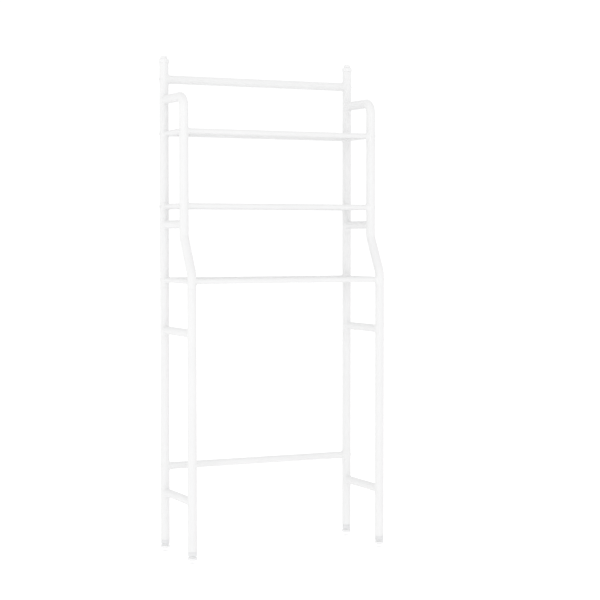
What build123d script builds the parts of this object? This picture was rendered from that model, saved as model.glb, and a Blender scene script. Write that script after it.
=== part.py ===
from build123d import *
import os

os.makedirs("parts", exist_ok=True)

# Over-the-toilet storage rack: two tubular side frames joined by a top rail, a lower
# crossbar and three wire shelves, standing on four screw-adjustable feet.
# Millimetres. X is the width, Y the depth with the front at -Y, Z is up from the floor.
# The origin is on the floor, at the middle of the footprint.

# Overall sizes
height = 1550.0
post_spacing = 644.0  # left to right, axis to axis
lower_depth = 232.0  # front to back below the outward step, axis to axis
upper_depth = 169.0  # front to back above the step

# Heights of the horizontal members' axes
top_rail_z = 1477.0
hook_z = 1413.0  # where a front post turns back to its rear post
shelf_z = {"top": 1307.0, "middle": 1078.5, "bottom": 848.0}
upper_rung_z = 1022.0
middle_rung_z = 690.0
crossbar_z = 259.0
lower_rung_z = 177.0

# Front post bends, on the tube's axis
hook_radius = 34.0
step_radius = 45.0
step_top_z = 984.0
step_bottom_z = 868.0
seam_z = 825.0  # where the upper and lower sections of each post meet

# Tube sections
post_diameter = 28.0
post_wall = 0.8
rung_diameter = 25.0
top_rail_diameter = 26.0
crossbar_diameter = 22.0
shelf_rail_diameter = 16.0
rail_wall = 0.8

# Shelf infill
wire_diameter = 4.0
brace_diameter = 5.0
wire_pitch = 25.0
wire_rise = 3.5  # wire axis above the rail axis
weld_bite = 0.6  # how far a cross wire sinks into a brace
brace_spacing = 76.0
brace_inset = 18.0  # post axis to the end of a brace
wire_inset = 24.0  # post axis to the first wire

# Screws and the threaded plugs in the rail ends
screw_diameter = 6.0
screw_clearance = 0.5
thread_gap = 0.05
head_diameter = 11.0
head_height = 1.2
socket_radius = 2.3
socket_depth = 1.4
plug_length = 20.0
plug_setback = 2.0

# Post sleeves
fit_gap = 0.05
sleeve_wall = 1.5
sleeve_bottom_z = 760.0
sleeve_top_z = 856.0

# Rear post caps
cap_diameter = 31.0
cap_bottom_z = 1528.0
cap_shoulder_z = 1540.5
cap_roof = 2.0
dome_diameter = 21.0
dome_rounding = 4.5

# Levelling feet
sole_diameter = 24.0
sole_height = 2.0
pad_diameter = 28.5
pad_bottom_z = 0.6
pad_top_z = 8.0
button_diameter = 12.6
button_bottom_z = 2.3
button_top_z = 5.3
moving_gap = 0.3
grip_bottom_z = 8.4
grip_top_z = 12.6
grip_diameter = 25.0
flute_count = 18
flute_diameter = 2.4
collar_diameter = 26.5
collar_bottom_z = 13.0
post_end_z = 26.0
insert_top_z = 46.0
nut_bottom_z = 36.0
nut_height = 6.5
nut_across_flats = 13.0
stud_diameter = 8.0
stud_top_z = 60.0

# Worked out from the sizes above
post_x = post_spacing / 2
rear_overhang = (cap_diameter - pad_diameter) / 4  # the rear caps are wider than the pads
rear_y = lower_depth / 2 - rear_overhang
front_lower_y = rear_y - lower_depth
front_upper_y = rear_y - upper_depth
post_radius = post_diameter / 2
post_bore_radius = post_radius - post_wall
tube_top_z = cap_shoulder_z - cap_roof
sides = {"left": -1, "right": 1}
nut_radius = nut_across_flats / 2 / 0.8660254  # centre to corner
shelf_front_y = {"top": front_upper_y, "middle": front_upper_y, "bottom": front_lower_y}


def save(piece, node):
    """Label a finished piece and write it under its node name."""
    piece.part.label = node
    export_step(piece.part, f"parts/{node}.step")


def ring(outer_radius, inner_radius):
    """A flat ring, for use inside a sketch."""
    Circle(outer_radius)
    Circle(inner_radius, mode=Mode.SUBTRACT)


def drill_across(x, y, z, radius):
    """Drill left to right through both walls of the post at x, y."""
    with Locations(Location((x + post_diameter, y, z), (0, 90, 0))):
        Hole(radius, depth=3 * post_diameter)


def straight_post(x, y, bottom_z, top_z, screw_heights):
    """An upright tube, drilled left to right for a screw at each height."""
    with BuildPart() as post:
        with BuildSketch(Plane.XY.offset(bottom_z)):
            with Locations((x, y)):
                ring(post_radius, post_bore_radius)
        extrude(amount=top_z - bottom_z)
        for z in screw_heights:
            drill_across(x, y, z, (screw_diameter + screw_clearance) / 2)
    return post


def hooked_post(x):
    """The upper section of a front post: it leaves the rear post level, turns down
    at the hook, then steps outwards to the lower section's line."""
    side_plane = Plane(origin=(x, 0, 0), x_dir=(0, 1, 0), z_dir=(1, 0, 0))
    with BuildPart() as post:
        with BuildLine(side_plane) as route:
            FilletPolyline(
                (rear_y, hook_z),
                (front_upper_y, hook_z),
                (front_upper_y, step_top_z),
                (front_lower_y, step_bottom_z),
                (front_lower_y, seam_z),
                radius=[hook_radius, step_radius, step_radius],
            )
        start = Plane(origin=route.line @ 0, z_dir=route.line % 0)
        with BuildSketch(start):
            Circle(post_radius)
        sweep(path=route.line)
        with BuildSketch(start):
            Circle(post_bore_radius)
        sweep(path=route.line, mode=Mode.SUBTRACT)
        with Locations((x, rear_y, hook_z)):
            Cylinder(post_radius, 3 * post_diameter, mode=Mode.SUBTRACT)
        for shelf, z in shelf_z.items():
            drill_across(x, shelf_front_y[shelf], z, (screw_diameter + screw_clearance) / 2)
    return post


def rung(x, z, front_y):
    """A tube from a front post to its rear post, its ends shaped to sit on them."""
    with BuildPart() as tube:
        with BuildSketch(Plane(origin=(x, front_y, z), z_dir=(0, 1, 0))):
            ring(rung_diameter / 2, rung_diameter / 2 - rail_wall)
        extrude(amount=rear_y - front_y)
        with Locations((x, front_y, z), (x, rear_y, z)):
            Cylinder(post_radius, 3 * rung_diameter, mode=Mode.SUBTRACT)
    return tube


def cross_rail(y, z, diameter):
    """A tube from the left post to the right one, its ends shaped to sit on them."""
    with BuildPart() as tube:
        with BuildSketch(Plane(origin=(-post_x, y, z), z_dir=(1, 0, 0))):
            ring(diameter / 2, diameter / 2 - rail_wall)
        extrude(amount=post_spacing)
        with Locations((-post_x, y, z), (post_x, y, z)):
            Cylinder(post_radius, 3 * diameter, mode=Mode.SUBTRACT)
    return tube


def shelf_side_rails(shelf):
    """The two short tubes under a shelf's ends, each from a front post to its rear
    post, their ends shaped to sit on the posts."""
    front_y = shelf_front_y[shelf]
    z = shelf_z[shelf]
    radius = shelf_rail_diameter / 2
    with BuildPart() as rails:
        with BuildSketch(Plane(origin=(0, front_y, z), z_dir=(0, 1, 0), x_dir=(1, 0, 0))):
            with Locations((-post_x, 0), (post_x, 0)):
                ring(radius, radius - rail_wall)
        extrude(amount=rear_y - front_y)
        with Locations(*[(side * post_x, y, z) for side in sides.values() for y in (front_y, rear_y)]):
            Cylinder(post_radius, 3 * shelf_rail_diameter, mode=Mode.SUBTRACT)
    return rails


def shelf_wires(shelf):
    """The wire panel welded between the long rails: front-to-back wires, shaped to sit
    on the rails, over two lengthways braces with free ends."""
    front_y = shelf_front_y[shelf]
    depth = rear_y - front_y
    middle_y = (rear_y + front_y) / 2
    wire_z = shelf_z[shelf] + wire_rise
    brace_z = wire_z - (wire_diameter + brace_diameter) / 2 + weld_bite
    wires_width = post_spacing - 2 * wire_inset
    wire_count = round(wires_width / wire_pitch) + 1
    brace_length = post_spacing - 2 * brace_inset
    with BuildPart() as panel:
        with Locations(Location((0, middle_y, wire_z))):
            with GridLocations(wires_width / (wire_count - 1), depth, wire_count, 1):
                Cylinder(wire_diameter / 2, depth, rotation=(90, 0, 0))
        with Locations((0, front_y, shelf_z[shelf]), (0, rear_y, shelf_z[shelf])):
            Cylinder(
                shelf_rail_diameter / 2, post_spacing, rotation=(0, 90, 0), mode=Mode.SUBTRACT
            )
        with Locations(Location((0, middle_y, brace_z))):
            with GridLocations(brace_length, brace_spacing, 1, 2):
                Cylinder(brace_diameter / 2, brace_length, rotation=(0, 90, 0))
    return panel


def screw_places(rows):
    """Where the screws of these rails cross the post axes: each row is a y and a z."""
    return [
        Location((side * post_x, y, z), (0, side * 90, 0))
        for side in sides.values()
        for y, z in rows
    ]


shelf_rows = [(y, shelf_z[s]) for s in shelf_z for y in (shelf_front_y[s], rear_y)]
frame_rows = [(rear_y, top_rail_z), (rear_y, crossbar_z)]


# Side frames
for name, side in sides.items():
    x = side * post_x
    rear_screws = [top_rail_z, *shelf_z.values()]
    save(straight_post(x, rear_y, seam_z, tube_top_z, rear_screws), f"rear_post_upper_{name}")
    save(straight_post(x, rear_y, post_end_z, seam_z, [crossbar_z]), f"rear_post_lower_{name}")
    save(straight_post(x, front_lower_y, post_end_z, seam_z, []), f"front_post_lower_{name}")
    save(hooked_post(x), f"front_post_upper_{name}")
    save(rung(x, upper_rung_z, front_upper_y), f"upper_rung_{name}")
    save(rung(x, middle_rung_z, front_lower_y), f"middle_rung_{name}")
    save(rung(x, lower_rung_z, front_lower_y), f"lower_rung_{name}")


# Sleeves inside the posts, across the seam; the bottom shelf's screws pin them
for name, side in sides.items():
    for row, y in (("front", front_lower_y), ("rear", rear_y)):
        with BuildPart() as sleeve:
            with BuildSketch(Plane.XY.offset(sleeve_bottom_z)):
                with Locations((side * post_x, y)):
                    sleeve_radius = post_bore_radius - fit_gap
                    ring(sleeve_radius, sleeve_radius - sleeve_wall)
            extrude(amount=sleeve_top_z - sleeve_bottom_z)
            drill_across(side * post_x, y, shelf_z["bottom"], (screw_diameter + screw_clearance) / 2)
        save(sleeve, f"post_sleeve_{row}_{name}")


# Rails between the side frames
save(cross_rail(rear_y, top_rail_z, top_rail_diameter), "top_rail")
save(cross_rail(rear_y, crossbar_z, crossbar_diameter), "lower_crossbar")


# Shelves
for shelf, z in shelf_z.items():
    save(cross_rail(shelf_front_y[shelf], z, shelf_rail_diameter), f"{shelf}_shelf_front_rail")
    save(cross_rail(rear_y, z, shelf_rail_diameter), f"{shelf}_shelf_rear_rail")
    save(shelf_side_rails(shelf), f"{shelf}_shelf_side_rails")
    save(shelf_wires(shelf), f"{shelf}_shelf_wires")


# One screw, its axis along Z and the post's along X, both through the origin
with BuildPart() as screw:
    saddle_z = post_radius - head_height  # low enough to meet the post's round side
    with BuildSketch(Plane.XY.offset(saddle_z)):
        Circle(head_diameter / 2)
    extrude(amount=post_radius + head_height - saddle_z)
    fillet(screw.edges().group_by(Axis.Z)[-1], 0.8 * head_height)
    Cylinder(post_radius, 2 * post_diameter, rotation=(0, 90, 0), mode=Mode.SUBTRACT)
    with BuildSketch(Plane.XY.offset(post_radius + 0.5 * head_height)):
        Circle(screw_diameter / 2 - thread_gap)
    extrude(amount=-(2 * post_radius + 0.5 * head_height + plug_setback + 0.9 * plug_length))
    with BuildSketch(Plane.XY.offset(post_radius + head_height)):
        RegularPolygon(socket_radius, 6)
    extrude(amount=-socket_depth, mode=Mode.SUBTRACT)

with BuildPart() as shelf_screws:
    with Locations(*screw_places(shelf_rows)):
        add(screw.part)
save(shelf_screws, "shelf_screws")

with BuildPart() as frame_screws:
    with Locations(*screw_places(frame_rows)):
        add(screw.part)
save(frame_screws, "frame_screws")


def rail_plug(rail_diameter):
    """A threaded plug, in the same place as the screw that it takes."""
    with BuildPart() as plug:
        with BuildSketch(Plane.XY.offset(-post_radius - plug_setback)):
            ring(rail_diameter / 2 - rail_wall - fit_gap, screw_diameter / 2)
        extrude(amount=-plug_length)
    return plug


with BuildPart() as shelf_rail_plugs:
    with Locations(*screw_places(shelf_rows)):
        add(rail_plug(shelf_rail_diameter).part)
save(shelf_rail_plugs, "shelf_rail_plugs")

with BuildPart() as frame_rail_plugs:
    with Locations(*screw_places([(rear_y, top_rail_z)])):
        add(rail_plug(top_rail_diameter).part)
    with Locations(*screw_places([(rear_y, crossbar_z)])):
        add(rail_plug(crossbar_diameter).part)
save(frame_rail_plugs, "frame_rail_plugs")


# Caps on the rear posts: a cup over the tube's end with a low dome on top
for name, side in sides.items():
    centre = (side * post_x, rear_y)
    with BuildPart() as cap:
        with BuildSketch(Plane.XY.offset(cap_bottom_z)):
            with Locations(centre):
                Circle(cap_diameter / 2)
        extrude(amount=cap_shoulder_z - cap_bottom_z)
        fillet(cap.edges().group_by(Axis.Z)[-1], 2.0)
        with BuildSketch(Plane.XY.offset(cap_shoulder_z)):
            with Locations(centre):
                Circle(dome_diameter / 2)
        extrude(amount=height - cap_shoulder_z)
        fillet(cap.edges().group_by(Axis.Z)[-1], dome_rounding)
        with BuildSketch(Plane.XY.offset(cap_bottom_z)):
            with Locations(centre):
                Circle(post_radius + fit_gap)
        extrude(amount=tube_top_z - cap_bottom_z, mode=Mode.SUBTRACT)
    save(cap, f"rear_post_cap_{name}")


# Levelling feet
foot_places = {
    f"{row}_{name}": (side * post_x, y)
    for row, y in (("front", front_lower_y), ("rear", rear_y))
    for name, side in sides.items()
}

for foot, centre in foot_places.items():
    # The insert closes the post's end and holds the nut in a hexagonal pocket
    with BuildPart() as insert:
        with BuildSketch(Plane.XY.offset(collar_bottom_z)):
            with Locations(centre):
                Circle(collar_diameter / 2)
        extrude(amount=post_end_z - collar_bottom_z)
        fillet(insert.edges().group_by(Axis.Z)[0], 1.5)
        with BuildSketch(Plane.XY.offset(post_end_z)):
            with Locations(centre):
                Circle(post_bore_radius - fit_gap)
        extrude(amount=insert_top_z - post_end_z)
        with BuildSketch(Plane.XY.offset(collar_bottom_z)):
            with Locations(centre):
                Circle(stud_diameter / 2 + moving_gap)
        extrude(amount=insert_top_z - collar_bottom_z, mode=Mode.SUBTRACT)
        with BuildSketch(Plane.XY.offset(nut_bottom_z)):
            with Locations(centre):
                RegularPolygon(nut_radius + fit_gap, 6)
        extrude(amount=insert_top_z - nut_bottom_z, mode=Mode.SUBTRACT)
    save(insert, f"foot_insert_{foot}")

    # The stud turns in the nut; its button turns inside the pad
    with BuildPart() as stud:
        with BuildSketch(Plane.XY.offset(button_bottom_z)):
            with Locations(centre):
                Circle(button_diameter / 2)
        extrude(amount=button_top_z - button_bottom_z)
        with BuildSketch(Plane.XY.offset(button_top_z)):
            with Locations(centre):
                Circle(stud_diameter / 2)
        extrude(amount=stud_top_z - button_top_z)
        chamfer(stud.edges().group_by(Axis.Z)[-1], 0.8)
    save(stud, f"foot_stud_{foot}")

    # A fluted ring fixed on the stud, to turn it by
    with BuildPart() as grip:
        with BuildSketch(Plane.XY.offset(grip_bottom_z)):
            with Locations(centre):
                ring(grip_diameter / 2, stud_diameter / 2)
                with PolarLocations(grip_diameter / 2, flute_count):
                    Circle(flute_diameter / 2, mode=Mode.SUBTRACT)
        extrude(amount=grip_top_z - grip_bottom_z)
    save(grip, f"foot_grip_{foot}")

    with BuildPart() as pad:
        with BuildSketch(Plane.XY.offset(pad_bottom_z)):
            with Locations(centre):
                Circle(pad_diameter / 2)
        extrude(amount=pad_top_z - pad_bottom_z)
        fillet(pad.edges().group_by(Axis.Z)[-1], 2.5)
        with BuildSketch(Plane.XY.offset(pad_bottom_z)):
            with Locations(centre):
                Circle(sole_diameter / 2 + fit_gap)
        extrude(amount=sole_height - pad_bottom_z, mode=Mode.SUBTRACT)
        with BuildSketch(Plane.XY.offset(sole_height)):
            with Locations(centre):
                Circle(button_diameter / 2 + moving_gap)
        extrude(amount=button_top_z + moving_gap - sole_height, mode=Mode.SUBTRACT)
        with BuildSketch(Plane.XY.offset(button_top_z)):
            with Locations(centre):
                Circle(stud_diameter / 2 + moving_gap)
        extrude(amount=pad_top_z - button_top_z, mode=Mode.SUBTRACT)
    save(pad, f"foot_pad_{foot}")

    with BuildPart() as sole:
        with BuildSketch():
            with Locations(centre):
                Circle(sole_diameter / 2)
        extrude(amount=sole_height)
    save(sole, f"foot_sole_{foot}")


with BuildPart() as foot_nuts:
    with BuildSketch(Plane.XY.offset(nut_bottom_z)):
        with Locations(*foot_places.values()):
            RegularPolygon(nut_radius, 6)
            Circle(stud_diameter / 2 + thread_gap, mode=Mode.SUBTRACT)
    extrude(amount=nut_height)
save(foot_nuts, "foot_nuts")
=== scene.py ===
import math
import random

import bmesh
import bpy
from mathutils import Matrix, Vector


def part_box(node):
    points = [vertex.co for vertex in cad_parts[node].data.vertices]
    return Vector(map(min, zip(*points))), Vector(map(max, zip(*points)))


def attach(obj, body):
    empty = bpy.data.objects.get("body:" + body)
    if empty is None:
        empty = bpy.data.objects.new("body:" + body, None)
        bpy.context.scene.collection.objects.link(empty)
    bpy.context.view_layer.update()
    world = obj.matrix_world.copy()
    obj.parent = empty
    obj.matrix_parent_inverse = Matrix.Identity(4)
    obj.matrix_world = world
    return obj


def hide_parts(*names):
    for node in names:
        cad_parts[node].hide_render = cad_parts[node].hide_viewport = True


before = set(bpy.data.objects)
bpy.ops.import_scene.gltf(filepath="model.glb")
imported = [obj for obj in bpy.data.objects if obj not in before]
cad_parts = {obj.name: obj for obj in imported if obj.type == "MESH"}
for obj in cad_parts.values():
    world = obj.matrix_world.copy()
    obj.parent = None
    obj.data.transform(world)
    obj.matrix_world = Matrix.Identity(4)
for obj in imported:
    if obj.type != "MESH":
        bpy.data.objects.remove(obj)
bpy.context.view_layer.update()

# Metres, in the CAD frame: X to the right, Y to the rear, Z up from the floor.
MM = 0.001
SIDES = ("left", "right")
SHELVES = ("top", "middle", "bottom")
FEET = [f"{row}_{side}" for row in ("front", "rear") for side in SIDES]
X_AXIS, Y_AXIS, Z_AXIS = Vector((1, 0, 0)), Vector((0, 1, 0)), Vector((0, 0, 1))
ROUND = 64  # segments round a post
FOOT_TRAVEL = 10 * MM  # how far a foot screws out of its post
random.seed(7)


# ---------------------------------------------------------------- sizes from the frame
def middle(node):
    low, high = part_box(node)
    return (low + high) / 2


def half_width(node, axis):
    low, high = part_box(node)
    return (high[axis] - low[axis]) / 2


def upright(node):
    """A round upright node: the foot of its axis at z = 0, its radius, its lowest and
    its highest z."""
    low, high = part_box(node)
    centre = middle(node)
    return Vector((centre.x, centre.y, 0)), (high.x - low.x) / 2, low.z, high.z


POST_R = half_width("rear_post_lower_left", 0)
RUNG_R = half_width("upper_rung_left", 0)
TOP_RAIL_R = half_width("top_rail", 2)
CROSSBAR_R = half_width("lower_crossbar", 2)
RAIL_R = half_width("top_shelf_front_rail", 2)
POST_WALL = 0.8 * MM
RAIL_WALL = 0.8 * MM
HOOK_BEND_R = 34 * MM
STEP_BEND_R = 45 * MM
STEP_TOP_Z = 984 * MM
STEP_BOTTOM_Z = 868 * MM
BEND_STEPS = 20
SAME_PLACE = 0.001 * MM  # points nearer than this are one point
COPE_FIT = 0.999  # how much of the hook's own radius its end is cut to

rear_y = middle("rear_post_lower_left").y
lower_front_y = middle("front_post_lower_left").y
upper_front_y = middle("top_shelf_front_rail").y
hook_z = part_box("front_post_upper_left")[1].z - POST_R
seam_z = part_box("front_post_upper_left")[0].z
shelf_z = {shelf: middle(f"{shelf}_shelf_front_rail").z for shelf in SHELVES}
shelf_front_y = {shelf: middle(f"{shelf}_shelf_front_rail").y for shelf in SHELVES}
post_x = {side: middle(f"rear_post_lower_{side}").x for side in SIDES}


# ---------------------------------------------------------------- materials
def node_material(name):
    material = bpy.data.materials.new(name)
    material.use_nodes = True
    tree = material.node_tree
    tree.nodes.clear()
    output = tree.nodes.new("ShaderNodeOutputMaterial")
    shader = tree.nodes.new("ShaderNodeBsdfPrincipled")
    tree.links.new(shader.outputs["BSDF"], output.inputs["Surface"])
    return material, tree, shader


def noise(tree, scale, detail=3.0, roughness=0.5, stretch=(1, 1, 1)):
    """Noise on the object's own coordinates, which are metres in the CAD frame."""
    place = tree.nodes.new("ShaderNodeTexCoord")
    mapping = tree.nodes.new("ShaderNodeMapping")
    mapping.inputs["Scale"].default_value = stretch
    tree.links.new(place.outputs["Object"], mapping.inputs["Vector"])
    texture = tree.nodes.new("ShaderNodeTexNoise")
    texture.inputs["Scale"].default_value = scale
    texture.inputs["Detail"].default_value = detail
    texture.inputs["Roughness"].default_value = roughness
    tree.links.new(mapping.outputs["Vector"], texture.inputs["Vector"])
    return texture.outputs["Fac"]


def ramp(tree, value, stops):
    """A colour ramp through (position, colour) stops."""
    node = tree.nodes.new("ShaderNodeValToRGB")
    elements = node.color_ramp.elements
    while len(elements) < len(stops):
        elements.new(0.5)
    for element, (position, colour) in zip(elements, stops):
        element.position = position
        element.color = (*colour, 1)
    tree.links.new(value, node.inputs["Fac"])
    return node.outputs["Color"]


def paint(tree, shader, value, dark, light, span=(0.3, 0.7)):
    """Colours the surface from dark to light as a noise runs over span."""
    colour = ramp(tree, value, [(span[0], dark), (span[1], light)])
    tree.links.new(colour, shader.inputs["Base Color"])


def roughen(tree, shader, value, rough, vary):
    """Roughness that wanders either side of rough by vary, as a noise runs from 0 to 1."""
    node = tree.nodes.new("ShaderNodeMapRange")
    node.inputs["To Min"].default_value = rough - vary
    node.inputs["To Max"].default_value = rough + vary
    tree.links.new(value, node.inputs["Value"])
    tree.links.new(node.outputs["Result"], shader.inputs["Roughness"])


def bump(tree, shader, height, strength, distance):
    """Fine relief from a noise, distance metres deep."""
    node = tree.nodes.new("ShaderNodeBump")
    node.inputs["Strength"].default_value = strength
    node.inputs["Distance"].default_value = distance
    tree.links.new(height, node.inputs["Height"])
    tree.links.new(node.outputs["Normal"], shader.inputs["Normal"])


def powder_coat(name, light, dark, rough=0.42):
    """Sprayed and baked polyester: faint cloudiness and an orange-peel skin."""
    material, tree, shader = node_material(name)
    shader.inputs["Specular IOR Level"].default_value = 0.25
    paint(tree, shader, noise(tree, scale=9.0, detail=4.0), dark, light)
    roughen(tree, shader, noise(tree, scale=60.0), rough, vary=0.06)
    bump(tree, shader, noise(tree, scale=650.0, detail=2.0), strength=0.22, distance=0.06 * MM)
    return material


def moulded_plastic(name, light, dark, rough):
    """Injection-moulded plastic with a fine satin texture."""
    material, tree, shader = node_material(name)
    paint(tree, shader, noise(tree, scale=40.0, detail=5.0), dark, light)
    roughen(tree, shader, noise(tree, scale=300.0), rough, vary=0.08)
    bump(tree, shader, noise(tree, scale=2500.0, detail=1.0), strength=0.25, distance=0.03 * MM)
    return material


def zinc_steel(name):
    """Bright zinc plating with faint spangle and drawn streaks."""
    material, tree, shader = node_material(name)
    shader.inputs["Metallic"].default_value = 1.0
    streak = noise(tree, scale=260.0, detail=4.0, stretch=(1, 1, 0.12))
    paint(tree, shader, streak, dark=(0.56, 0.57, 0.60), light=(0.76, 0.77, 0.78))
    roughen(tree, shader, noise(tree, scale=900.0), rough=0.35, vary=0.09)
    bump(tree, shader, streak, strength=0.15, distance=0.05 * MM)
    return material


def rubber(name):
    """Matt grey rubber with a fine speckle."""
    material, tree, shader = node_material(name)
    speck = noise(tree, scale=1200.0, detail=3.0)
    paint(tree, shader, speck, dark=(0.46, 0.46, 0.47), light=(0.58, 0.58, 0.59), span=(0.35, 0.65))
    roughen(tree, shader, noise(tree, scale=400.0), rough=0.81, vary=0.09)
    bump(tree, shader, speck, strength=0.4, distance=0.08 * MM)
    return material


COAT = powder_coat("white_powder_coat", (0.763, 0.763, 0.764), (0.748, 0.748, 0.749))
WIRE_COAT = powder_coat("white_wire_coat", (0.775, 0.775, 0.776), (0.75, 0.75, 0.752))
SCREW_COAT = powder_coat(
    "white_screw_lacquer", (0.77, 0.77, 0.772), (0.75, 0.75, 0.752), rough=0.32
)
CAP_PLASTIC = moulded_plastic(
    "white_cap_plastic", (0.77, 0.77, 0.772), (0.755, 0.755, 0.757), rough=0.45
)
GREY_PLASTIC = moulded_plastic(
    "grey_foot_plastic", (0.70, 0.702, 0.708), (0.67, 0.672, 0.679), rough=0.5
)
PAD_PLASTIC = moulded_plastic(
    "white_pad_plastic", (0.79, 0.791, 0.794), (0.77, 0.771, 0.775), rough=0.5
)
STEEL = zinc_steel("zinc_plated_steel")
SOLE_RUBBER = rubber("grey_sole_rubber")


# ---------------------------------------------------------------- mesh making
def new_piece(name, bm, material, body, replaces=(), sharp_angle=35):
    """Turns a bmesh into a piece that rides on a body and stands for CAD nodes."""
    bmesh.ops.recalc_face_normals(bm, faces=bm.faces)
    mesh = bpy.data.meshes.new(name)
    bm.to_mesh(mesh)
    bm.free()
    mesh.polygons.foreach_set("use_smooth", [True] * len(mesh.polygons))
    mesh.set_sharp_from_angle(angle=math.radians(sharp_angle))
    mesh.materials.append(material)
    piece = bpy.data.objects.new(name, mesh)
    bpy.context.scene.collection.objects.link(piece)
    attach(piece, body)
    if replaces:
        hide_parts(*replaces)


def add_rings(bm, rings, closed=False):
    """Skins a run of equal rings. A ring given as one point is a pole."""
    made = [[bm.verts.new(p) for p in ring] for ring in rings]
    pairs = list(zip(made, made[1:]))
    if closed:
        pairs.append((made[-1], made[0]))
    for a, b in pairs:
        count = max(len(a), len(b))
        for i in range(count):
            j = (i + 1) % count
            if len(a) == 1:
                bm.faces.new((a[0], b[j], b[i]))
            elif len(b) == 1:
                bm.faces.new((a[i], a[j], b[0]))
            else:
                bm.faces.new((a[i], a[j], b[j], b[i]))


def side_axes(direction):
    """Two unit vectors square to a direction, turning right-handed about it."""
    reference = X_AXIS if abs(direction.x) < 0.9 else Y_AXIS
    first = (reference - direction * reference.dot(direction)).normalized()
    return first, direction.cross(first)


def ring(centre, direction, radius, count=ROUND):
    first, second = side_axes(direction)
    return [
        centre + radius * (math.cos(turn) * first + math.sin(turn) * second)
        for turn in (math.tau * i / count for i in range(count))
    ]


def turned(axis, profile, count=ROUND):
    """Rings for a profile of (radius, z) points about a vertical axis. A radius of 0 is
    a pole."""
    levels = [(axis + Z_AXIS * z, radius) for radius, z in profile]
    return [ring(at, Z_AXIS, radius, count) if radius else [at] for at, radius in levels]


def lathe(bm, axis, profile):
    """Turns a profile of (radius, z) points about a vertical axis."""
    add_rings(bm, turned(axis, profile))


def meet(point, direction, axis_point, axis, radius):
    """Where the line from a point on a tube's wall, going back along the tube, meets
    the round side of another tube, on the side that direction points to."""
    d = direction - axis * direction.dot(axis)
    w = point - axis_point
    w = w - axis * w.dot(axis)
    a, b, c = d.dot(d), d.dot(w), w.dot(w) - radius * radius
    reach = (-b + math.sqrt(max(b * b - a * c, 0.0))) / a
    return point + direction * reach


def saddle(centre, direction, radius, post, count=ROUND):
    """A ring on a tube's wall, shaped to sit on another tube given as
    (axis point, axis, radius). direction leads away from that other tube."""
    return [meet(p, direction, *post) for p in ring(centre, direction, radius, count)]


def shifted(points, vector):
    """A ring moved by a vector."""
    return [p + vector for p in points]


def bent_path(points, radii, steps=BEND_STEPS):
    """(place, direction) along a route with a round bend at each inner point."""
    path = [(points[0], (points[1] - points[0]).normalized())]
    for before, corner, after, radius in zip(points, points[1:], points[2:], radii):
        into = (corner - before).normalized()
        out = (after - corner).normalized()
        turn = into.angle(out)
        start = corner - into * radius * math.tan(turn / 2)
        normal = (out - into * out.dot(into)).normalized()
        for i in range(steps + 1):
            angle = turn * i / steps
            ahead, aside = math.sin(angle), 1 - math.cos(angle)
            place = start + into * radius * ahead + normal * radius * aside
            path.append((place, into * math.cos(angle) + normal * math.sin(angle)))
    path.append((points[-1], (points[-1] - points[-2]).normalized()))
    return path


END_CHAMFER = 0.5 * MM
TUBE_EDGE_LOOP = 6 * MM


def square_end(centre, direction, radius):
    """Rings for a tube's cut end with its edge broken, ending at centre."""
    return [
        ring(centre - direction * END_CHAMFER, direction, radius),
        ring(centre, direction, radius - END_CHAMFER),
    ]


def hollow(bm, outer, inner):
    """A tube's wall, from its outer rings and its inner ones, both start to end."""
    add_rings(bm, outer + inner[::-1], closed=True)


def post_section(name, node):
    """A straight length of post."""
    axis, _, low, high = upright(node)
    bottom, top = axis + Z_AXIS * low, axis + Z_AXIS * high
    bm = bmesh.new()
    outer = square_end(bottom, -Z_AXIS, POST_R)[::-1] + square_end(top, Z_AXIS, POST_R)
    outer = [ring_like(r, Z_AXIS) for r in outer]
    inner = [ring(p, Z_AXIS, POST_R - POST_WALL) for p in (bottom, top)]
    hollow(bm, outer, inner)
    new_piece(name, bm, COAT, "rack", [node])


def ring_like(points, direction):
    """The same round ring, started and turned as ring() does about direction."""
    centre = sum(points, Vector()) / len(points)
    return ring(centre, direction, (points[0] - centre).length, len(points))


def hooked_section(side):
    """A front post's upper section: from the rear post, over the hook, down and out
    over the step to the seam."""
    x = post_x[side]
    route = [
        Vector((x, rear_y, hook_z)),
        Vector((x, upper_front_y, hook_z)),
        Vector((x, upper_front_y, STEP_TOP_Z)),
        Vector((x, lower_front_y, STEP_BOTTOM_Z)),
        Vector((x, lower_front_y, seam_z)),
    ]
    path = bent_path(route, [HOOK_BEND_R, STEP_BEND_R, STEP_BEND_R])
    rear_post = (Vector((x, rear_y, hook_z)), Z_AXIS, POST_R)
    walls = []
    for radius in (POST_R, POST_R - POST_WALL):
        rings = [ring(place, direction, radius) for place, direction in path[1:-1]]
        first = saddle(path[0][0], path[0][1], radius * COPE_FIT, rear_post)
        end_place, end_direction = path[-1]
        if radius == POST_R:
            last = square_end(end_place, end_direction, radius)
        else:
            last = [ring(end_place, end_direction, radius)]
        walls.append([first] + rings + last)
    bm = bmesh.new()
    hollow(bm, *walls)
    node = f"front_post_upper_{side}"
    new_piece(f"hooked_post_{side}", bm, COAT, "rack", [node])


def coped_tube(bm, start, end, radius, wall, start_post, end_post):
    """A tube whose ends are shaped to sit on two others."""
    direction = (end - start).normalized()
    walls = []
    for r in (radius, radius - wall):
        first = saddle(start, direction, r, start_post)
        last = matched(saddle(end, -direction, r, end_post), direction)
        inset = direction * TUBE_EDGE_LOOP
        walls.append([first, shifted(first, inset), shifted(last, -inset), last])
    hollow(bm, *walls)


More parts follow.
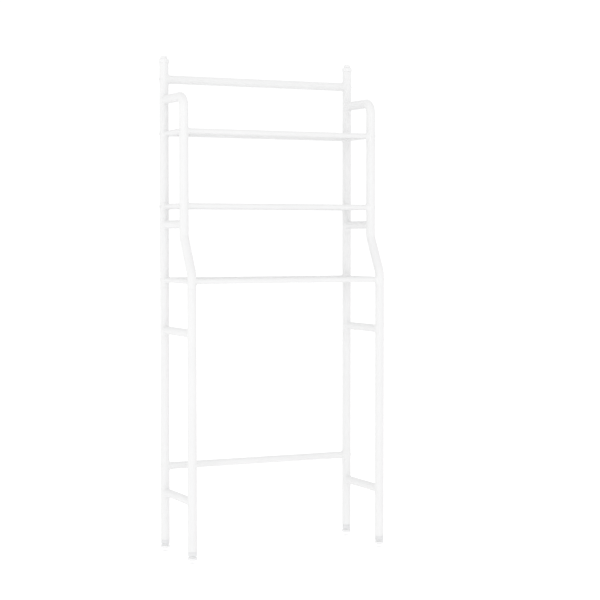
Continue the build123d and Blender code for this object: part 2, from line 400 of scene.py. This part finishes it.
def matched(points, direction):
    """Reorders a ring that was turned about the opposite direction, so that its
    points line up with a ring turned about direction."""
    first, second = side_axes(direction)
    centre = sum(points, Vector()) / len(points)

    def angle(p):
        offset = p - centre
        return math.atan2(offset.dot(second), offset.dot(first)) % math.tau

    shift = math.pi / len(points)
    return sorted(points, key=lambda p: (angle(p) + shift) % math.tau)


def vertical(x, y):
    """The post at x, y, as saddle() takes it."""
    return (Vector((x, y, 0)), Z_AXIS, POST_R)


# ---------------------------------------------------------------- welds
WELD_LEG = 7.5 * MM
SADDLE_LEG = 6.0 * MM
WELD_STEPS = 8
WELD_SINK = 0.35 * MM
WELD_HOLLOW = 0.16  # how far a section's control point stands off the corner, in legs
FINE_WAVE, BROAD_WAVE = 0.05, 0.06  # a weld's unevenness, as parts of its leg
THIN_TUBE_LEG = 1.1  # a tube thinner than a rung has a weld this much over its proportion
HOOK_WELD_FIT = 0.985  # the hook is as wide as its post, so its weld starts just inside it


def fillet_ring(bm, centre, direction, radius, post, leg, ripple, count=96, ripples=26):
    """A fillet where a tube stands on another: a closed ring whose section runs in a
    hollow curve from one wall to the other. ripple makes it uneven, like weld metal."""
    axis_point, axis, post_radius = post
    curve = saddle(centre, direction, radius, post, count)
    spokes = ring(Vector(), direction, 1.0, count)
    phase = random.random() * math.tau
    sections = []
    for i, (place, spoke) in enumerate(zip(curve, spokes)):
        turn = math.tau * i / count
        wave = FINE_WAVE * math.sin(ripples * turn + phase)
        wave += BROAD_WAVE * math.sin(2 * turn + phase)
        size = leg * (1 + ripple * wave)
        offset = place - axis_point
        out = (offset - axis * offset.dot(axis)).normalized()
        along_post = (spoke - out * spoke.dot(out)).normalized()
        on_tube = place + direction * size
        on_post = place + along_post * size
        lifted = on_post - axis_point
        radial = lifted - axis * lifted.dot(axis)
        on_post -= radial * (1 - post_radius / radial.length)
        corner = place + (direction + spoke) * size * WELD_HOLLOW
        section = []
        for k in range(WELD_STEPS + 1):
            s = k / WELD_STEPS
            curved = (1 - s) ** 2 * on_tube + 2 * s * (1 - s) * corner + s * s * on_post
            section.append(curved)
        section.append(on_post - radial.normalized() * WELD_SINK)
        section.append(place - (direction + spoke) * WELD_SINK)
        section.append(on_tube - spoke * WELD_SINK)
        sections.append(section)
    add_rings(bm, sections, closed=True)


def weld(bm, centre, direction, radius, post, leg=WELD_LEG):
    """A weld bead round a tube that stands on a post."""
    fillet_ring(bm, centre, direction, radius, post, leg, ripple=1.0)


def saddle_ends(bm, start, end, radius, start_post, end_post):
    """The flared seats on a screwed rail's two ends."""
    direction = (end - start).normalized()
    fillet_ring(bm, start, direction, radius, start_post, SADDLE_LEG, ripple=0.0)
    fillet_ring(bm, end, -direction, radius, end_post, SADDLE_LEG, ripple=0.0)


# ---------------------------------------------------------------- side frames
def rungs():
    """(side, node, z, front post's y) of every rung."""
    for place in ("upper", "middle", "lower"):
        for side in SIDES:
            node = f"{place}_rung_{side}"
            front_y = upper_front_y if place == "upper" else lower_front_y
            yield side, node, middle(node).z, front_y


for side in SIDES:
    post_section(f"rear_upper_post_{side}", f"rear_post_upper_{side}")
    post_section(f"rear_lower_post_{side}", f"rear_post_lower_{side}")
    post_section(f"front_lower_post_{side}", f"front_post_lower_{side}")
    hooked_section(side)

for side, node, z, front_y in rungs():
    x = post_x[side]
    bm = bmesh.new()
    coped_tube(
        bm, Vector((x, front_y, z)), Vector((x, rear_y, z)), RUNG_R, RAIL_WALL,
        vertical(x, front_y), vertical(x, rear_y),
    )
    new_piece(f"{node}_tube", bm, COAT, "rack", [node])

for side in SIDES:
    x = post_x[side]
    bm = bmesh.new()
    ties = [(z, front_y, RUNG_R) for rung_side, _, z, front_y in rungs() if rung_side == side]
    ties += [(shelf_z[shelf], shelf_front_y[shelf], RAIL_R) for shelf in SHELVES]
    for z, front_y, radius in ties:
        leg = WELD_LEG * min(1.0, radius / RUNG_R * THIN_TUBE_LEG)
        weld(bm, Vector((x, front_y, z)), Y_AXIS, radius, vertical(x, front_y), leg)
        weld(bm, Vector((x, rear_y, z)), -Y_AXIS, radius, vertical(x, rear_y), leg)
    weld(bm, Vector((x, rear_y, hook_z)), -Y_AXIS, POST_R * HOOK_WELD_FIT, vertical(x, rear_y))
    new_piece(f"side_frame_welds_{side}", bm, COAT, "rack", sharp_angle=60)


# ---------------------------------------------------------------- rails
def cross_rail(node, radius, saddles):
    """A rail from the left post to the right one; its flared ends go into saddles."""
    centre = middle(node)
    start, end = (Vector((post_x[side], centre.y, centre.z)) for side in SIDES)
    posts = vertical(start.x, start.y), vertical(end.x, end.y)
    bm = bmesh.new()
    coped_tube(bm, start, end, radius, RAIL_WALL, *posts)
    saddle_ends(saddles, start, end, radius, *posts)
    new_piece(f"{node}_tube", bm, COAT, "rack", [node])


frame_saddles = bmesh.new()
cross_rail("top_rail", TOP_RAIL_R, frame_saddles)
cross_rail("lower_crossbar", CROSSBAR_R, frame_saddles)
new_piece("frame_rail_saddles", frame_saddles, COAT, "rack", sharp_angle=60)
for shelf in SHELVES:
    shelf_saddles = bmesh.new()
    cross_rail(f"{shelf}_shelf_front_rail", RAIL_R, shelf_saddles)
    cross_rail(f"{shelf}_shelf_rear_rail", RAIL_R, shelf_saddles)
    new_piece(
        f"{shelf}_shelf_saddles", shelf_saddles, COAT, "rack", sharp_angle=60
    )


# ---------------------------------------------------------------- shelves
def shelf_side_rails(shelf):
    """The tubes under a shelf's ends, in the planes of the side frames."""
    z, front_y = shelf_z[shelf], shelf_front_y[shelf]
    bm = bmesh.new()
    for x in post_x.values():
        start, end = Vector((x, front_y, z)), Vector((x, rear_y, z))
        coped_tube(bm, start, end, RAIL_R, RAIL_WALL, vertical(x, front_y), vertical(x, rear_y))
    node = f"{shelf}_shelf_side_rails"
    new_piece(f"{shelf}_shelf_side_tubes", bm, COAT, "rack", [node])


WIRE_R = 2.0 * MM
BRACE_R = 2.5 * MM
WIRE_RISE = 3.5 * MM
WELD_BITE = 0.6 * MM
BRACE_SPACING = 76 * MM
BRACE_INSET = 18 * MM
WIRE_PITCH = 25 * MM
WIRE_INSET = 24 * MM
WIRE_ROUND = 20
WIRE_SINK = 0.4 * MM  # how far a wire's end goes into the rail's wall
WIRE_EDGE = 0.25  # a wire's end is chamfered by this part of its radius
BEAD_SHIFT = 0.2 * MM
CROSSING_BEAD = Vector((2.5, 2.9, 0.9)) * MM
END_BEAD = Vector((2.7, 1.3, 2.6)) * MM


def bar(bm, start, end, radius, count=WIRE_ROUND):
    """A solid round wire."""
    direction = (end - start).normalized()
    edge = radius * WIRE_EDGE
    inset = direction * edge
    stops = [(start, radius - edge), (start + inset, radius)]
    stops += [(end - inset, radius), (end, radius - edge)]
    rings = [ring(place, direction, wide, count) for place, wide in stops]
    add_rings(bm, [[start], *rings, [end]])


def nugget(bm, centre, size):
    """A flattened bead of weld where two wires cross."""
    made = bmesh.ops.create_icosphere(bm, subdivisions=2, radius=1.0)
    for vertex in made["verts"]:
        vertex.co = vertex.co * size + centre


def wire_panel(shelf):
    """Front-to-back wires between the long rails, over two lengthways braces, with a
    flat bead of weld at every crossing and every end."""
    z = shelf_z[shelf] + WIRE_RISE
    brace_z = z - WIRE_R - BRACE_R + WELD_BITE
    front_y = shelf_front_y[shelf]
    first, last = post_x["left"] + WIRE_INSET, post_x["right"] - WIRE_INSET
    count = round((last - first) / WIRE_PITCH) + 1
    pitch = (last - first) / (count - 1)
    reach = math.sqrt(RAIL_R**2 - WIRE_RISE**2) - WIRE_SINK
    mid_y = (front_y + rear_y) / 2
    braces = [mid_y - BRACE_SPACING / 2, mid_y + BRACE_SPACING / 2]
    bm = bmesh.new()
    for i in range(count):
        x = first + pitch * i
        near, far = Vector((x, front_y + reach, z)), Vector((x, rear_y - reach, z))
        bar(bm, near, far, WIRE_R)
        for y in braces:
            nugget(bm, Vector((x, y, z - WIRE_R + BEAD_SHIFT)), CROSSING_BEAD)
        for place, back in ((near, 1), (far, -1)):
            nugget(bm, place + Vector((0, back * BEAD_SHIFT, -BEAD_SHIFT)), END_BEAD)
    for y in braces:
        start = Vector((post_x["left"] + BRACE_INSET, y, brace_z))
        end = Vector((post_x["right"] - BRACE_INSET, y, brace_z))
        bar(bm, start, end, BRACE_R)
    name, node = f"{shelf}_shelf_wire_panel", f"{shelf}_shelf_wires"
    new_piece(name, bm, WIRE_COAT, "rack", [node], sharp_angle=50)


for shelf in SHELVES:
    shelf_side_rails(shelf)
    wire_panel(shelf)


# ---------------------------------------------------------------- screws
HEAD_R = 5.5 * MM
HEAD_HEIGHT = 1.2 * MM
SOCKET_R = 2.3 * MM
SOCKET_DEPTH = 1.2 * MM
SOCKET_CHAMFER = 0.25 * MM
SOCKET_CHAMFER_DEPTH = 0.2 * MM
SOCKET_POINT = 0.3 * MM
HEAD_ROOT = 2.5 * MM  # how far a head's solid goes into the post
HEAD_ROUND = 48
HEAD_PROFILE = [(1.0, 0.30), (0.985, 0.52), (0.93, 0.72), (0.82, 0.87), (0.66, 0.96), (0.5, 1.0)]


def hexagon(centre, direction, radius):
    """A ring as ring() gives it, but drawn in to a hexagon with corners at radius."""
    half = math.pi / 6
    points = []
    for i, p in enumerate(ring(centre, direction, radius, HEAD_ROUND)):
        angle = (math.tau * (i / HEAD_ROUND)) % (2 * half) - half
        points.append(centre + (p - centre) * (math.cos(half) / math.cos(angle)))
    return points


def screw_head(bm, place, out):
    """A low domed head with a hexagonal socket, seated on a post's round side.
    place is on the post's axis, and out leads to the side that the head is on."""
    post = (place, Z_AXIS, POST_R)
    seat = saddle(place, out, HEAD_R, post, HEAD_ROUND)
    face = place + out * POST_R
    rings = [seat]
    for wide, high in HEAD_PROFILE:
        rings.append(ring(face + out * HEAD_HEIGHT * high, out, HEAD_R * wide, HEAD_ROUND))
    mouth = SOCKET_R + SOCKET_CHAMFER, 0.0
    for radius, depth in (mouth, (SOCKET_R, SOCKET_CHAMFER_DEPTH), (SOCKET_R, SOCKET_DEPTH)):
        rings.append(hexagon(face + out * (HEAD_HEIGHT - depth), out, radius))
    rings.append([face + out * (HEAD_HEIGHT - SOCKET_DEPTH - SOCKET_POINT)])
    add_rings(bm, [[place + out * (POST_R - HEAD_ROOT)], *rings])


def screw_group(name, node, rows):
    bm = bmesh.new()
    for side, out in zip(SIDES, (-X_AXIS, X_AXIS)):
        for y, z in rows:
            screw_head(bm, Vector((post_x[side], y, z)), out)
    new_piece(name, bm, SCREW_COAT, "rack", [node], sharp_angle=30)


screw_group(
    "shelf_screw_heads", "shelf_screws",
    [(y, shelf_z[shelf]) for shelf in SHELVES for y in (shelf_front_y[shelf], rear_y)],
)
screw_group(
    "frame_screw_heads", "frame_screws",
    [(rear_y, middle("top_rail").z), (rear_y, middle("lower_crossbar").z)],
)


# ---------------------------------------------------------------- post caps
def arc(centre, radius, start, end, steps):
    """Profile points round an arc, in degrees from the horizontal."""
    cx, cz = centre
    return [
        (cx + radius * math.cos(math.radians(a)), cz + radius * math.sin(math.radians(a)))
        for a in (start + (end - start) * i / steps for i in range(steps + 1))
    ]


CAP_EDGE = 2.0 * MM
CAP_LIP = 0.6 * MM
CAP_ROOF = 2.0 * MM
CAP_CLEARANCE = 0.05 * MM
DOME_R = 10.5 * MM
DOME_EDGE = 4.5 * MM
DOME_HEIGHT = 9.5 * MM
DOME_FOOT = 0.5 * MM  # the small slope where the dome meets the cap's shoulder
DOME_FOOT_RISE = 0.4 * MM


def rear_cap(side):
    """A cup over the post's end with a low round-edged dome on top."""
    node = f"rear_post_cap_{side}"
    axis, radius, low, high = upright(node)
    base = axis + Z_AXIS * low
    full = high - low
    shoulder = full - DOME_HEIGHT
    inner = POST_R + CAP_CLEARANCE
    profile = [(inner, 0.0), (radius - CAP_LIP, 0.0), (radius, CAP_LIP)]
    profile += arc((radius - CAP_EDGE, shoulder - CAP_EDGE), CAP_EDGE, 0, 90, 6)
    profile += [(DOME_R + DOME_FOOT, shoulder), (DOME_R, shoulder + DOME_FOOT_RISE)]
    profile += arc((DOME_R - DOME_EDGE, full - DOME_EDGE), DOME_EDGE, 0, 90, 10)
    profile += [(0, full)]
    bm = bmesh.new()
    lathe(bm, base, profile)
    lathe(bm, base, [(0, shoulder - CAP_ROOF), (inner, shoulder - CAP_ROOF), (inner, 0.0)])
    bmesh.ops.remove_doubles(bm, verts=bm.verts, dist=SAME_PLACE)
    new_piece(f"dome_cap_{side}", bm, CAP_PLASTIC, "rack", [node], sharp_angle=40)


for side in SIDES:
    rear_cap(side)


# ---------------------------------------------------------------- levelling feet
THREAD_PITCH = 1.25 * MM
THREAD_DEPTH = 0.65 * MM
THREAD_FLANK = 1.25  # above 1, it leaves the roots flat
THREAD_CREST = 0.12  # above 0, it leaves the crests flat
THREAD_ROUND = 36
THREAD_STEPS = 8  # rings to one pitch
FLUTES = 18
FLUTE_R = 1.2 * MM
GRIP_ROUND = FLUTES * 12
GRIP_EDGE = 0.5 * MM
SHANK_R = 4.0 * MM
STUD_BORE = 4.3 * MM
BORE_CHAMFER = 0.5 * MM
STUD_BUTTON_R = 6.3 * MM
STUD_BUTTON = 3.0 * MM
STUD_EDGE = 0.4 * MM
THREAD_START_Z = 12.6 * MM
THREAD_RUN_IN = 2 * MM  # the thread grows to its full depth over this length
FIRST_TURN_CUT = 0.3 * MM  # the shank is this much thinner where the thread begins
THREAD_END = 1.2 * MM  # the plain tip above the thread
TIP = ((0.5 * MM, 0.8 * MM), (0.9 * MM, 0.0))  # how much thinner, how far below the end
COLLAR = 13 * MM
COLLAR_EDGE = 1.2 * MM
COLLAR_RIM = 0.4 * MM
COLLAR_GROOVE = (8.2 * MM, 8.5 * MM, 9.3 * MM, 9.6 * MM)  # its edges' heights on the collar
COLLAR_GROOVE_DEPTH = 0.5 * MM
PLUG_CLEARANCE = 0.05 * MM
PLUG_CHAMFER = 1 * MM
PAD_EDGE = 2.5 * MM
PAD_LIP = 0.6 * MM
PAD_NECK = 4.3 * MM  # the hole that the stud goes through
PAD_DISH = (4.4 * MM, 3.9 * MM)  # how far the dish round the neck reaches, top and floor
PAD_DISH_DEPTH = 0.3 * MM
PAD_NECK_CHAMFER = 0.4 * MM
PAD_RECESS = 12.05 * MM  # the sole's seat
PAD_CAVITY_R = 6.6 * MM  # round the stud's button
PAD_CAVITY_Z = (2.0 * MM, 5.6 * MM)
SOLE_GROOVES = (3.0 * MM, 5.6 * MM, 8.2 * MM)
SOLE_GROOVE_TOP = 0.5 * MM
SOLE_GROOVE_STOPS = (0.8 * MM, 1.2 * MM, 2.2 * MM)  # from its start: roof, mouth, land
SOLE_CENTRE = 2.6 * MM
SOLE_EDGE = 0.3 * MM


def foot_insert(foot):
    """The grey collar under a post, and the plug that holds it there."""
    node = f"foot_insert_{foot}"
    axis, radius, low, high = upright(node)
    base = axis + Z_AXIS * low
    full = high - low
    plug = POST_R - POST_WALL - PLUG_CLEARANCE
    groove = radius - COLLAR_GROOVE_DEPTH
    profile = [(STUD_BORE, full), (STUD_BORE, BORE_CHAMFER), (STUD_BORE + BORE_CHAMFER, 0.0)]
    profile += arc((radius - COLLAR_EDGE, COLLAR_EDGE), COLLAR_EDGE, -90, 0, 6)
    profile += list(zip((radius, groove, groove, radius), COLLAR_GROOVE))
    profile += [(radius, COLLAR - COLLAR_RIM), (radius - COLLAR_RIM, COLLAR)]
    profile += [(plug, COLLAR), (plug, full - PLUG_CHAMFER), (plug - PLUG_CHAMFER, full)]
    bm = bmesh.new()
    lathe(bm, base, profile + profile[:1])
    bmesh.ops.remove_doubles(bm, verts=bm.verts, dist=SAME_PLACE)
    name = f"collar_insert_{foot}"
    new_piece(name, bm, GREY_PLASTIC, "rack", [node], sharp_angle=40)


def thread_ring(axis, z, crest, count):
    """One level of a right-hand thread: the crest climbs as it turns."""
    points = []
    for i in range(count):
        turn = i / count
        phase = (z / THREAD_PITCH - turn) % 1.0
        valley = abs(2 * phase - 1)
        cut = min(1.0, max(0.0, THREAD_FLANK * valley - THREAD_CREST))
        radius = crest - THREAD_DEPTH * cut
        angle = math.tau * turn
        x, y = radius * math.cos(angle), radius * math.sin(angle)
        points.append(Vector((axis.x + x, axis.y + y, z)))
    return points


def foot_stud(foot):
    """The threaded stud, with the button that turns in the pad."""
    node = f"foot_stud_{foot}"
    axis, _, low, high = upright(node)
    button_top = low + STUD_BUTTON
    profile = [(0, low), (STUD_BUTTON_R - STUD_EDGE, low), (STUD_BUTTON_R, low + STUD_EDGE)]
    profile += [(STUD_BUTTON_R, button_top - STUD_EDGE), (STUD_BUTTON_R - STUD_EDGE, button_top)]
    profile += [(SHANK_R, button_top), (SHANK_R, THREAD_START_Z)]
    rings = turned(axis, profile, THREAD_ROUND)
    step = THREAD_PITCH / THREAD_STEPS
    z = THREAD_START_Z + step
    while z < high - THREAD_END:
        run_in = min(1.0, (z - THREAD_START_Z) / THREAD_RUN_IN)
        level = thread_ring(axis, z, SHANK_R, THREAD_ROUND)
        if run_in < 1:
            plain = ring(axis + Z_AXIS * z, Z_AXIS, SHANK_R - FIRST_TURN_CUT, THREAD_ROUND)
            level = [a.lerp(b, run_in) for a, b in zip(plain, level)]
        rings.append(level)
        z += step
    tip = [(SHANK_R - thinner, high - below) for thinner, below in TIP]
    rings += turned(axis, tip + [(0, high)], THREAD_ROUND)
    bm = bmesh.new()
    add_rings(bm, rings)
    new_piece(f"threaded_stud_{foot}", bm, STEEL, f"stud_{foot}", [node])


def fluted(radius, turn):
    """The grip's outline: a circle cut by round flutes."""
    near = (turn * FLUTES) % 1.0
    offset = math.tau * radius / FLUTES * min(near, 1 - near)
    return radius - math.sqrt(max(FLUTE_R**2 - offset**2, 0.0))


def foot_grip(foot):
    """The fluted ring moulded on the stud, with softened edges."""
    node = f"foot_grip_{foot}"
    axis, radius, low, high = upright(node)
    edge = GRIP_EDGE
    rings = []
    for inset, z in ((edge, low), (0, low + edge), (0, high - edge), (edge, high)):
        outline = [fluted(radius, i / GRIP_ROUND) - inset for i in range(GRIP_ROUND)]
        level = axis + Z_AXIS * z
        circle = ring(level, Z_AXIS, 1.0, GRIP_ROUND)
        rings.append([level + (p - level) * reach for p, reach in zip(circle, outline)])
    rings += turned(axis, [(SHANK_R, high), (SHANK_R, low)], GRIP_ROUND)
    bm = bmesh.new()
    add_rings(bm, rings, closed=True)
    name, body = f"fluted_grip_{foot}", f"stud_{foot}"
    new_piece(name, bm, PAD_PLASTIC, body, [node], sharp_angle=32)


def foot_pad(foot):
    """The swivelling pad: a low round foot with a cavity for the stud's button."""
    node = f"foot_pad_{foot}"
    axis, radius, low, high = upright(node)
    cavity_low, cavity_high = PAD_CAVITY_Z
    neck, dish_floor = PAD_NECK, high - PAD_DISH_DEPTH
    profile = [(PAD_CAVITY_R, cavity_high), (PAD_CAVITY_R, cavity_low)]
    profile += [(PAD_RECESS, cavity_low), (PAD_RECESS, low)]
    profile += [(radius - PAD_LIP, low), (radius, low + PAD_LIP)]
    profile += arc((radius - PAD_EDGE, high - PAD_EDGE), PAD_EDGE, 0, 78, 7)
    profile += [(neck + PAD_DISH[0], high), (neck + PAD_DISH[1], dish_floor)]
    profile += [(neck + PAD_NECK_CHAMFER, dish_floor), (neck, dish_floor - PAD_NECK_CHAMFER)]
    profile += [(neck, cavity_high), (PAD_CAVITY_R, cavity_high)]
    bm = bmesh.new()
    lathe(bm, axis, profile)
    bmesh.ops.remove_doubles(bm, verts=bm.verts, dist=SAME_PLACE)
    name, body = f"swivel_pad_{foot}", f"pad_{foot}"
    new_piece(name, bm, PAD_PLASTIC, body, [node], sharp_angle=40)


def foot_sole(foot):
    """A rubber disc with ring grooves in its underside."""
    node = f"foot_sole_{foot}"
    axis, radius, low, high = upright(node)
    profile = [(0, low), (SOLE_CENTRE, low)]
    roof, mouth, land = SOLE_GROOVE_STOPS
    for start in SOLE_GROOVES:
        profile += [(start, SOLE_GROOVE_TOP), (start + roof, SOLE_GROOVE_TOP)]
        profile += [(start + mouth, low), (start + land, low)]
    profile += [(radius - SOLE_EDGE, low), (radius, low + SOLE_EDGE), (radius, high), (0, high)]
    bm = bmesh.new()
    lathe(bm, axis, profile)
    new_piece(f"rubber_sole_{foot}", bm, SOLE_RUBBER, f"pad_{foot}", [node])


for foot in FEET:
    foot_insert(foot)
    foot_stud(foot)
    foot_grip(foot)
    foot_pad(foot)
    foot_sole(foot)


# ---------------------------------------------------------------- carried-over CAD nodes
hidden_steel = [f"post_sleeve_{foot}" for foot in FEET]
hidden_steel += ["shelf_rail_plugs", "frame_rail_plugs", "foot_nuts"]
for node in hidden_steel:
    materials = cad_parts[node].data.materials
    materials.clear()
    materials.append(STEEL)


# ---------------------------------------------------------------- studio
FLOOR_CLEARANCE = 0.2 * MM
FLOOR_HALF_WIDTH = 40
FLOOR_GLOW = 0.16
WORLD_STRENGTH = 1.06
SOFTBOX_SIZE = (5.0, 5.0)
SOFTBOX_TARGET = (0, 0, 0.8)
CAMERA_SENSOR = 36
CAMERA_LENS = 99.28
CAMERA_X, CAMERA_Z = -2.1745, 0.9839
CAMERA_BEFORE_REAR_POSTS = 4.8925
CAMERA_YAW = math.radians(25.42)
CAMERA_PITCH = math.radians(2.19)


def studio_floor():
    """The floor lies just under the soles of feet that are screwed all the way out, so
    that no pad goes through it at any pose."""
    bm = bmesh.new()
    bmesh.ops.create_grid(bm, x_segments=1, y_segments=1, size=FLOOR_HALF_WIDTH)
    mesh = bpy.data.meshes.new("studio_floor")
    bm.to_mesh(mesh)
    bm.free()
    material, tree, shader = node_material("studio_floor")
    tint = noise(tree, scale=0.7)
    paint(tree, shader, tint, dark=(0.93, 0.93, 0.93), light=(0.95, 0.95, 0.95), span=(0.2, 0.8))
    shader.inputs["Roughness"].default_value = 0.9
    shader.inputs["Emission Color"].default_value = (1, 1, 1, 1)
    shader.inputs["Emission Strength"].default_value = FLOOR_GLOW
    mesh.materials.append(material)
    floor = bpy.data.objects.new("studio_floor", mesh)
    floor.location.z = -FOOT_TRAVEL - FLOOR_CLEARANCE
    bpy.context.scene.collection.objects.link(floor)


def softbox(name, place, watts):
    """A large square lamp that faces the rack."""
    lamp = bpy.data.lights.new(name, "AREA")
    lamp.shape = "RECTANGLE"
    lamp.size, lamp.size_y = SOFTBOX_SIZE
    lamp.energy = watts
    box = bpy.data.objects.new(name, lamp)
    box.location = place
    towards = Vector(SOFTBOX_TARGET) - Vector(place)
    box.rotation_euler = towards.to_track_quat("-Z", "Y").to_euler()
    bpy.context.scene.collection.objects.link(box)


def studio_light():
    """A white world, with one softbox before the rack and a weaker one to its left."""
    world = bpy.data.worlds.new("studio_world")
    world.use_nodes = True
    background = world.node_tree.nodes["Background"]
    background.inputs["Color"].default_value = (1, 1, 1, 1)
    background.inputs["Strength"].default_value = WORLD_STRENGTH
    bpy.context.scene.world = world
    softbox("front_softbox", (-4.8, -9.8, 1.5), watts=155)
    softbox("left_softbox", (-10.0, -1.5, 1.5), watts=45)


def photo_camera():
    """The camera stands to the left of the front, a little under the middle shelf's
    height, and looks slightly down."""
    camera = bpy.data.cameras.new("photo_camera")
    camera.sensor_width = CAMERA_SENSOR
    camera.lens = CAMERA_LENS
    holder = bpy.data.objects.new("photo_camera", camera)
    holder.location = (CAMERA_X, rear_y - CAMERA_BEFORE_REAR_POSTS, CAMERA_Z)
    level = Vector((math.sin(CAMERA_YAW), math.cos(CAMERA_YAW), 0))
    ahead = level * math.cos(CAMERA_PITCH) - Z_AXIS * math.sin(CAMERA_PITCH)
    holder.rotation_euler = ahead.to_track_quat("-Z", "Y").to_euler()
    bpy.context.scene.collection.objects.link(holder)
    bpy.context.scene.camera = holder


studio_floor()
studio_light()
photo_camera()
bpy.context.scene.view_settings.view_transform = "Standard"
bpy.context.scene.view_settings.look = "None"
